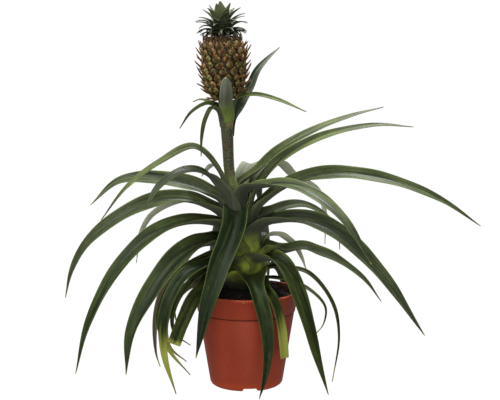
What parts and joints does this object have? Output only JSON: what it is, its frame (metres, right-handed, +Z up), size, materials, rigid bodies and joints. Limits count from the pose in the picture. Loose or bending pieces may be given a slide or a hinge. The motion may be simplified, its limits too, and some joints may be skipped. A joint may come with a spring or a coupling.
{
  "type": "potted pineapple plant",
  "caption": "Ornamental pineapple plant in a tapered nursery pot: arching channelled leaves around a leaning stalk that carries a small crowned fruit.",
  "frame": {"origin": "middle of the pot's underside, in the plane that the pot stands on", "axes": "+Z up along the pot's axis, +X to the right as the plant is seen in its usual view, +Y away from the viewer"},
  "size_m": [0.4606, 0.2739, 0.4271],
  "materials": {
    "pot": "thin moulded plastic, terracotta red, satin",
    "soil": null,
    "stem": "living stalk and packed leaf bases, yellow-green, mealy",
    "fruit": "ripening fruit, olive and orange-brown eyes with rust-brown bracts",
    "crown": "grey-green crown leaves",
    "leaf": "dark green living leaf, satin, with paler lined underside",
    "old_leaf": "old leaf, yellow-green to dry brown",
    "pale_leaf": "silvery grey-green underside of a stalk leaf"
  },
  "bodies": {
    "root": {"crown": "crown", "fruit": "fruit", "leaf_back_1": "leaf", "leaf_back_10": "leaf", "leaf_back_2": "leaf", "leaf_back_3": "leaf", "leaf_back_4": "leaf", "leaf_back_5": "leaf", "leaf_back_6": "leaf", "leaf_back_7": "leaf", "leaf_back_8": "leaf", "leaf_back_9": "leaf", "leaf_front_1": "leaf", "leaf_front_2": "leaf", "leaf_front_3": "old_leaf", "leaf_left_1": "leaf", "leaf_left_10": "old_leaf", "leaf_left_11": "old_leaf", "leaf_left_12": "leaf", "leaf_left_2": "leaf", "leaf_left_3": "leaf", "leaf_left_4": "leaf", "leaf_left_5": "leaf", "leaf_left_6": "leaf", "leaf_left_7": "leaf", "leaf_left_8": "leaf", "leaf_left_9": "old_leaf", "leaf_right_1": "leaf", "leaf_right_10": "leaf", "leaf_right_11": "leaf", "leaf_right_2": "leaf", "leaf_right_3": "leaf", "leaf_right_4": "leaf", "leaf_right_5": "leaf", "leaf_right_6": "leaf", "leaf_right_7": "leaf", "leaf_right_8": "leaf", "leaf_right_9": "leaf", "pot": "pot", "soil": "soil", "stalk_leaf_1": "pale_leaf", "stalk_leaf_2": "leaf", "stalk_leaf_3": "leaf", "stalk_leaf_4": "leaf", "stalk_leaf_5": "leaf", "stalk_leaf_6": "leaf", "stem": "stem"}
  },
  "joints": []
}
